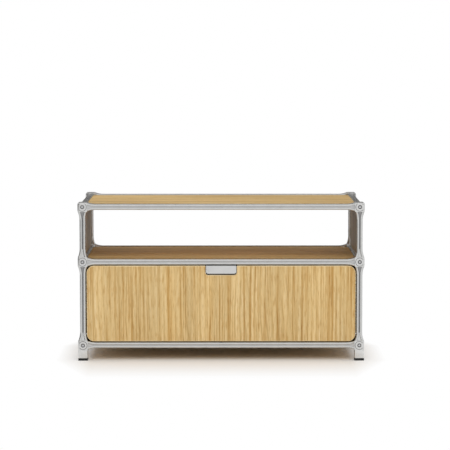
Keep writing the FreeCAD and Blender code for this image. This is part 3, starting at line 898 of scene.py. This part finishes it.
@dataclass
class CornerConnectors:
    """Connector blocks with a low round disc on every outer face."""

    disc_radius: float = 13 * MM
    disc_height: float = 0.7 * MM
    disc_bevel: float = 0.4 * MM
    outer_round: float = 8 * MM
    outer_steps: int = 14
    seat_edge: float = 0.4 * MM
    seat_steps: int = 3
    sharp_angle: float = 0.6
    ring_width: float = 1.1 * MM
    ring_height_shares: tuple[float, float] = (1.1, 0.05)
    recess_radius: float = 6.5 * MM
    recess_depth: float = 5.2 * MM
    recess_bevel: float = 0.3 * MM
    overrun: float = 1 * MM
    disc_segments: int = 96
    recess_segments: int = 64

    def block(self, name: str, low: Vector, high: Vector, outward: Sequence[Vector]) -> bpy.types.Mesh:
        """Block with its outer edges well rounded and the others just broken.

        Args:
            name: The mesh's name.
            low: Lowest corner.
            high: Highest corner.
            outward: Directions of its outer faces.

        Returns:
            The mesh.
        """
        build = bmesh.new()
        bmesh.ops.create_cube(build, size=1.0)
        span = high - low
        for vertex in build.verts:
            vertex.co = (high + low) / 2 + vertex.co * span
        build.normal_update()
        outer = [face for face in build.faces if any(face.normal.dot(way) > 0.9 for way in outward)]
        rounded = [line for line in build.edges if all(face in outer for face in line.link_faces)]
        bmesh.ops.bevel(build, geom=rounded, offset=self.outer_round, segments=self.outer_steps, profile=0.5,
                        affect="EDGES")
        build.normal_update()
        sharp = [line for line in build.edges
                 if len(line.link_faces) == 2 and line.calc_face_angle() > self.sharp_angle]
        bmesh.ops.bevel(build, geom=sharp, offset=self.seat_edge, segments=self.seat_steps, profile=0.5,
                        affect="EDGES", clamp_overlap=True)
        return finished(build, name)

    def surround(self, centre: Vector, way: Vector, seat: float) -> bpy.types.Mesh:
        """Shallow layer of an outer face that lies outside its disc.

        Args:
            centre: The connector's centre.
            way: Direction of the face.
            seat: Distance from the centre to the disc's top.

        Returns:
            The solid that cuts it.
        """
        base, top = seat - self.disc_height, seat + self.overrun
        narrowed = self.disc_radius - self.disc_bevel * (top - base) / self.disc_height
        reach = 2 * seat
        profile = [(self.disc_radius, base), (self.disc_radius + self.ring_width, base), (reach, base),
                   (reach, top), (narrowed, top), (self.disc_radius, base)]
        return lathe_mesh("surround", profile, centre, way, self.disc_segments)

    def recess(self, centre: Vector, way: Vector, seat: float) -> bpy.types.Mesh:
        """Round recess that a screw head stands in.

        Args:
            centre: The connector's centre.
            way: Direction of the face.
            seat: Distance from the centre to the disc's top.

        Returns:
            The solid that cuts it.
        """
        floor, top = seat - self.recess_depth, seat + self.overrun
        wide = self.recess_radius + self.recess_bevel
        profile = [(0.0, floor), (self.recess_radius, floor), (self.recess_radius, seat - self.recess_bevel),
                   (wide, seat), (wide, top), (0.0, top)]
        return lathe_mesh("recess", profile, centre, way, self.recess_segments)

    def refinish(self, mesh: bpy.types.Mesh, centre: Vector, way: Vector, radii: tuple[float, float],
                 heights: tuple[float, float], index: int) -> None:
        """Give the faces in a round space another finish.

        Args:
            mesh: The connector's mesh.
            centre: The connector's centre, on the space's axis.
            way: Direction of the axis.
            radii: The space's inner and outer radius.
            heights: Where it starts and ends along the axis.
            index: Material index of the finish.
        """
        for face in mesh.polygons:
            offset = face.center - centre
            height = offset.dot(way)
            aside = (offset - way * height).length
            if radii[0] <= aside < radii[1] and heights[0] < height < heights[1]:
                face.material_index = index

    def build_one(self, face: Face, side: Side, level: Level) -> None:
        """Make one connector.

        Args:
            face: Front or rear.
            side: Left or right.
            level: Its height.
        """
        node = f"connector_{face}_{side}_{level}"
        low, high = node_box(node)
        centre = (low + high) / 2
        seat = (high.z - low.z) / 2
        screwed = Vector((0, face.value, 0))
        outward = [Vector((side.value, 0, 0)), screwed]
        if level is Level.TOP:
            outward.append(Vector((0, 0, 1)))
        name = f"casting_{face}_{side}_{level}"
        cutters = [self.surround(centre, way, seat) for way in outward]
        cutters.append(self.recess(centre, screwed, seat))
        mesh = cut_away(self.block(name, low, high, outward), cutters)
        ring = (self.disc_radius - self.disc_bevel, self.disc_radius + self.ring_width)
        ring_low, ring_high = (seat - share * self.disc_height for share in self.ring_height_shares)
        # paint shade in a thin ring round each disc's step, material index 2
        for way in outward:
            self.refinish(mesh, centre, way, ring, (ring_low, ring_high), 2)
        # paint shade on the walls and floor of the screw recess, material index 1
        self.refinish(mesh, centre, screwed, (0.0, self.recess_radius + self.recess_bevel / 4),
                      (0.0, seat - self.recess_bevel), 1)
        smooth_by_angle(mesh)
        finishes = [CASTING, RECESS_SHADE, DISC_RING_SHADE]
        add_piece(name, mesh, finishes, Body.FRAME.value, Slot.CASTINGS.value, node)

    def build(self) -> None:
        """Make every connector and dress the screws."""
        for level in Level:
            for face in Face:
                for side in Side:
                    self.build_one(face, side, level)
        for node in ("frame_screws", "frame_studs", "panel_pins"):
            dress_node(node, STEEL)


@dataclass
class SquareFeet:
    """Foot blocks under the bottom connectors, on black pads."""

    width: float = 31 * MM
    pad_height: float = 7 * MM
    side_edge: float = 1.0 * MM
    lower_edge: float = 2.2 * MM
    upper_edge: float = 0.4 * MM
    pad_edge: float = 0.3 * MM
    slope_share: float = 0.3
    corner_steps: int = 5
    crisp_angle: float = 28.0

    def turned_block(self, name: str, centre: Vector, low: float, high: float, corner: float, lower: float,
                     upper: float) -> bpy.types.Mesh:
        """Upright square block with its own rounding at the foot, the head and the corners.

        Args:
            name: The mesh's name.
            centre: Point on its axis.
            low: Lower end.
            high: Upper end.
            corner: Radius of the upright corners.
            lower: Slope of the lower edge.
            upper: Slope of the upper edge.

        Returns:
            The mesh.
        """
        corners = rectangle(self.width, self.width, corner + max(lower, upper))
        outline = rounded_outline(corners, self.corner_steps)
        slope = lower * self.slope_share
        build = bmesh.new()
        rings = []
        for inset, height in ((lower, low), (slope, low + slope), (0.0, low + lower), (0.0, high - upper),
                              (upper, high)):
            rings.append([build.verts.new((centre.x + point.x - normal.x * inset,
                                           centre.y + point.y - normal.y * inset, height))
                          for point, normal in outline])
        skin(build, rings)
        mesh = finished(build, name)
        smooth_by_angle(mesh, self.crisp_angle)
        return mesh

    def build(self) -> None:
        """Make the four feet."""
        for face in Face:
            for side in Side:
                low, high = node_box(f"connector_{face}_{side}_{Level.BOTTOM}")
                centre = (low + high) / 2
                name = f"foot_block_{face}_{side}"
                block = self.turned_block(name, centre, self.pad_height, low.z, self.side_edge,
                                          self.lower_edge, self.upper_edge)
                add_piece(name, block, [FOOT_CASTING], Body.FRAME.value, Slot.CASTINGS.value,
                          "foot_blocks")
                name = f"foot_pad_{face}_{side}"
                pad = self.turned_block(name, centre, 0.0, self.pad_height, self.pad_edge, self.pad_edge,
                                        self.pad_edge / 2)
                add_piece(name, pad, [RUBBER], Body.FRAME.value, Slot.RUBBER.value, "foot_pads")


@dataclass
class OakPanels:
    """The boards between the bars."""

    corner: float = 24 * MM
    edge: float = 1.4 * MM

    def board(self, node: str, facing: Facing, finishes: Sequence[Finish]) -> None:
        """Make one board in the place of its node.

        Args:
            node: The node.
            facing: Which way it lies.
            finishes: The finishes of its faces, of its edges and, where it is another one, of the face that
                looks out of the rack sideways.
        """
        low, high = node_box(node)
        span = high - low
        wide, high_way, deep = facing.value
        outline = rounded_outline(rectangle(abs(span.dot(wide)), abs(span.dot(high_way)), self.corner))
        mesh = plate_mesh(f"{node}_board", outline, abs(span.dot(deep)), self.edge, facing, (low + high) / 2)
        for face in mesh.polygons:
            if len(finishes) > 2 and face.material_index == 0 and face.normal.x * low.x > 0:
                face.material_index = 2
        add_piece(f"{node}_board", mesh, finishes, Body.FRAME.value, Slot.OAK.value, node)

    def build(self) -> None:
        """Make every fixed board."""
        self.board("top_panel", Facing.UP, (TOP_OAK, EDGE_HIGHLIGHT_OAK))
        self.board("shelf_panel", Facing.UP, (SHELF_OAK, EDGE_HIGHLIGHT_OAK))
        self.board("bottom_panel", Facing.UP, (BOTTOM_OAK, EDGE_HIGHLIGHT_OAK))
        for side in Side:
            for bay in reversed(Bay):
                self.board(f"side_panel_{bay}_{side}", Facing.SIDE, (SIDE_OAK, SIDE_EDGE, OUTSIDE_OAK))
        self.board("back_panel", Facing.FRONT, (BACK_OAK, EDGE_HIGHLIGHT_OAK))


@dataclass
class DropFlap:
    """The drop-down flap: its board with a notch in the top edge, and the bent grip."""

    corner: float = 24 * MM
    edge: float = 1.8 * MM
    notch_half: float = 50.5 * MM
    notch_corner: float = 7.5 * MM
    notch_mouth: float = 2.4 * MM
    grip_half: float = 49 * MM
    grip_plate: float = 2.5 * MM
    grip_corner: float = 6 * MM
    grip_bend: float = 5 * MM
    grip_edge: float = 0.45 * MM
    finger_gap: float = 4.5 * MM
    flange_half: float = 66.5 * MM
    flange_edge: float = 0.4 * MM
    flange_below_top: float = 3 * MM
    front_height: float = 26.8 * MM
    corner_steps: int = 4
    bend_steps: int = 8
    edge_steps: int = 2
    sharp_angle: float = 0.8
    crisp_angle: float = 40.0

    def board_mesh(self) -> bpy.types.Mesh:
        """Board with round corners and the notch.

        Returns:
            The mesh.
        """
        low, high = node_box("flap_panel")
        centre = (low + high) / 2
        half_x = (high.x - low.x) / 2
        bottom, top = low.z - centre.z, high.z - centre.z
        floor = self.grip_front_low() - self.finger_gap - centre.z
        right = [Corner(half_x, bottom, self.corner), Corner(half_x, top, self.corner),
                 Corner(self.notch_half, top, self.notch_mouth),
                 Corner(self.notch_half, floor, self.notch_corner)]
        left = [Corner(-corner.x, corner.y, corner.radius) for corner in reversed(right)]
        outline = rounded_outline(right + left)
        return plate_mesh("flap_board", outline, high.y - low.y, self.edge, Facing.FRONT, centre)

    def grip_front_low(self) -> float:
        """Height of the lower edge of the grip's front plate."""
        _, high = node_box("flap_grip")
        return high.z - self.front_height

    def grip_path(self) -> list[tuple[Vector, Vector]]:
        """Outer line of the bent plate, from the front's lower edge over the top and down behind.

        Returns:
            Points in the YZ plane with their outward normals.
        """
        low, high = node_box("flap_grip")
        bend = self.grip_bend
        front, back, top, bottom = low.y, high.y, high.z, self.grip_front_low()
        path = []
        for step in range(self.corner_steps + 1):
            height = bottom + self.grip_corner * step / self.corner_steps
            path.append((Vector((front, height)), Vector((-1, 0))))
        for middle, start in ((front + bend, math.pi), (back - bend, math.pi / 2)):
            for step in range(self.bend_steps + 1):
                angle = start - math.pi / 2 * step / self.bend_steps
                normal = Vector((math.cos(angle), math.sin(angle)))
                path.append((Vector((middle, top - bend)) + normal * bend, normal))
        path.append((Vector((back, bottom - self.finger_gap)), Vector((1, 0))))
        return path

    def grip_mesh(self) -> bpy.types.Mesh:
        """Bent plate with rounded lower corners in front.

        Returns:
            The mesh.
        """
        build = bmesh.new()
        rows = []
        for point, normal in self.grip_path():
            drop = self.grip_corner - (point.y - self.grip_front_low()) if normal.x < -0.99 else 0.0
            drop = min(max(drop, 0.0), self.grip_corner)
            half = self.grip_half - self.grip_corner + math.sqrt(self.grip_corner ** 2 - drop ** 2)
            inner = point - normal * self.grip_plate
            rows.append([build.verts.new((x, spot.x, spot.y))
                         for x, spot in ((-half, point), (half, point), (half, inner), (-half, inner))])
        skin(build, rows)
        build.normal_update()
        sharp = [line for line in build.edges if line.calc_face_angle(0.0) > self.sharp_angle]
        bmesh.ops.bevel(build, geom=sharp, offset=self.grip_edge, segments=self.edge_steps, profile=0.5,
                        affect="EDGES", clamp_overlap=True)
        mesh = finished(build, "grip_plate")
        smooth_by_angle(mesh, self.crisp_angle)
        return mesh

    def flange_mesh(self) -> bpy.types.Mesh:
        """Flange of the grip on the flap's rear face.

        Returns:
            The mesh.
        """
        low, high = node_box("flap_grip")
        top = node_box("flap_panel")[1].z - self.flange_below_top
        centre = Vector((0, high.y - self.grip_plate / 2, (low.z + top) / 2))
        outline = rounded_outline(rectangle(2 * self.flange_half, top - low.z, self.grip_corner))
        return plate_mesh("grip_flange", outline, self.grip_plate, self.flange_edge, Facing.FRONT, centre)

    def build(self) -> None:
        """Make the flap and dress what it carries."""
        flap = Body.FLAP.value
        add_piece("flap_board", self.board_mesh(), [FLAP_OAK, EDGE_HIGHLIGHT_OAK], flap, Slot.OAK.value, "flap_panel")
        add_piece("grip_plate", self.grip_mesh(), [GRIP_METAL], flap, Slot.BARS.value, "flap_grip")
        add_piece("grip_flange", self.flange_mesh(), [GRIP_METAL], flap, Slot.BARS.value, "flap_grip")
        for node in ("grip_screws", "flap_brackets", "strike_plates"):
            dress_node(node, STEEL)
        dress_node("hinge_bushes", NYLON)


@dataclass
class FlapStays:
    """Stays, hinge pins, catches and the sag pad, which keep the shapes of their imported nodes."""

    def build(self) -> None:
        """Dress the stays and the small fittings."""
        for side in Side:
            dress_node(f"stay_housing_{side}", STAY_GREY)
            dress_node(f"stay_arm_{side}", STEEL)
            dress_node(f"stay_link_{side}", STEEL)
        dress_node("hinge_pins", STEEL)
        dress_node("magnet_catches", NYLON)
        dress_node("flap_sag_pad", RUBBER)


@dataclass(frozen=True)
class GreyCard:
    """A card that stands where only the metal mirrors it."""

    name: str
    centre: tuple[float, float, float]
    size: tuple[float, float]
    faces: tuple[float, float, float]


@dataclass
class Studio:
    """White floor, soft lights, grey cards and the camera."""

    camera_place: tuple[float, float, float] = (-0.0117, -7.2225, 1.0492)
    pitch: float = 4.958
    yaw: float = -0.199
    lens: float = 173.0
    sensor: float = 36.0
    view_end: float = 200.0
    floor_size: float = 60.0
    sky: float = 0.68
    box_size: tuple[float, float] = (3.4, 2.6)
    box_place: tuple[float, float, float] = (0.3, -3.2, 2.7)
    box_aim: tuple[float, float, float] = (0.0, 0.0, 0.3)
    box_power: float = 50.0
    cards: tuple[GreyCard, ...] = (
        GreyCard("flag_behind", (0.0, 3.2, 1.6), (7.0, 3.2), (0.0, -1.0, 0.0)),
        GreyCard("flag_left", (-2.6, -0.5, 1.0), (7.4, 2.0), (1.0, 0.0, 0.0)),
        GreyCard("flag_above", (0.0, 1.2, 3.4), (4.0, 2.4), (0.0, 0.0, -1.0)),
        GreyCard("flag_below", (0.0, 1.7, 0.004), (4.0, 2.8), (0.0, 0.0, 1.0)),
    )

    def camera(self) -> None:
        """Put the camera at the photograph's viewpoint."""
        data = bpy.data.cameras.new("camera")
        data.sensor_fit = "HORIZONTAL"
        data.sensor_width = self.sensor
        data.lens = self.lens
        data.clip_end = self.view_end
        camera = bpy.data.objects.new("camera", data)
        camera.location = self.camera_place
        camera.rotation_euler = (math.radians(90 - self.pitch), 0.0, math.radians(self.yaw))
        bpy.context.scene.collection.objects.link(camera)
        bpy.context.scene.camera = camera

    def sheet(self, name: str, width: float, finish: Finish) -> bpy.types.Object:
        """Make a flat square sheet, not yet in the scene.

        Args:
            name: The sheet's name.
            width: Its width.
            finish: Its finish.

        Returns:
            The sheet.
        """
        build = bmesh.new()
        bmesh.ops.create_grid(build, x_segments=1, y_segments=1, size=width / 2)
        mesh = finished(build, name)
        mesh.materials.append(finish.material())
        return bpy.data.objects.new(name, mesh)

    def floor(self) -> None:
        """Lay the floor."""
        floor = self.sheet("floor", self.floor_size, FloorFinish("studio_floor"))
        bpy.context.scene.collection.objects.link(floor)

    def surroundings(self) -> None:
        """Light the rack evenly; the camera, metal and glass see a white background."""
        world = bpy.data.worlds.new("studio")
        bpy.context.scene.world = world
        world.use_nodes = True
        nodes = world.node_tree.nodes
        wires = world.node_tree.links
        background = nodes["Background"]
        background.inputs["Color"].default_value = (1.0, 1.0, 1.0, 1.0)
        strength = nodes.new("ShaderNodeMapRange")
        strength.inputs["To Min"].default_value = self.sky
        strength.inputs["To Max"].default_value = 1.0
        wires.new(background_rays(world.node_tree), strength.inputs["Value"])
        wires.new(strength.outputs["Result"], background.inputs["Strength"])

    def stand(self, plan: GreyCard) -> None:
        """Stand a grey card where only the metal mirrors it.

        Args:
            plan: Its name, place and size.
        """
        card = self.sheet(plan.name, 1.0, CARD_GREY)
        card.location = plan.centre
        card.rotation_euler = Vector(plan.faces).to_track_quat("Z", "Y").to_euler()
        card.scale = (*plan.size, 1.0)
        card.visible_camera = False
        card.visible_diffuse = False
        card.visible_shadow = False
        bpy.context.scene.collection.objects.link(card)

    def lamp(self) -> None:
        """Hang a soft box before the rack that lights it but isn't mirrored in the metal."""
        data = bpy.data.lights.new("soft_box", "AREA")
        data.shape = "RECTANGLE"
        data.size, data.size_y = self.box_size
        data.energy = self.box_power
        lamp = bpy.data.objects.new("soft_box", data)
        lamp.location = self.box_place
        away = Vector(self.box_place) - Vector(self.box_aim)
        lamp.rotation_euler = away.to_track_quat("Z", "Y").to_euler()
        lamp.visible_glossy = False
        lamp.visible_camera = False
        bpy.context.scene.collection.objects.link(lamp)

    def build(self) -> None:
        """Set up the studio."""
        bpy.context.scene.view_settings.view_transform = "Standard"
        self.camera()
        self.floor()
        self.surroundings()
        self.lamp()
        for plan in self.cards:
            self.stand(plan)


def main() -> None:
    """Build the rack and the studio."""
    logging.basicConfig(level=logging.INFO, format="%(name)s: %(message)s")
    for assembly in (GroovedBars(), CornerConnectors(), SquareFeet(), OakPanels(), DropFlap(), FlapStays(),
                     Studio()):
        assembly.build()


if __name__ == "__main__":
    main()
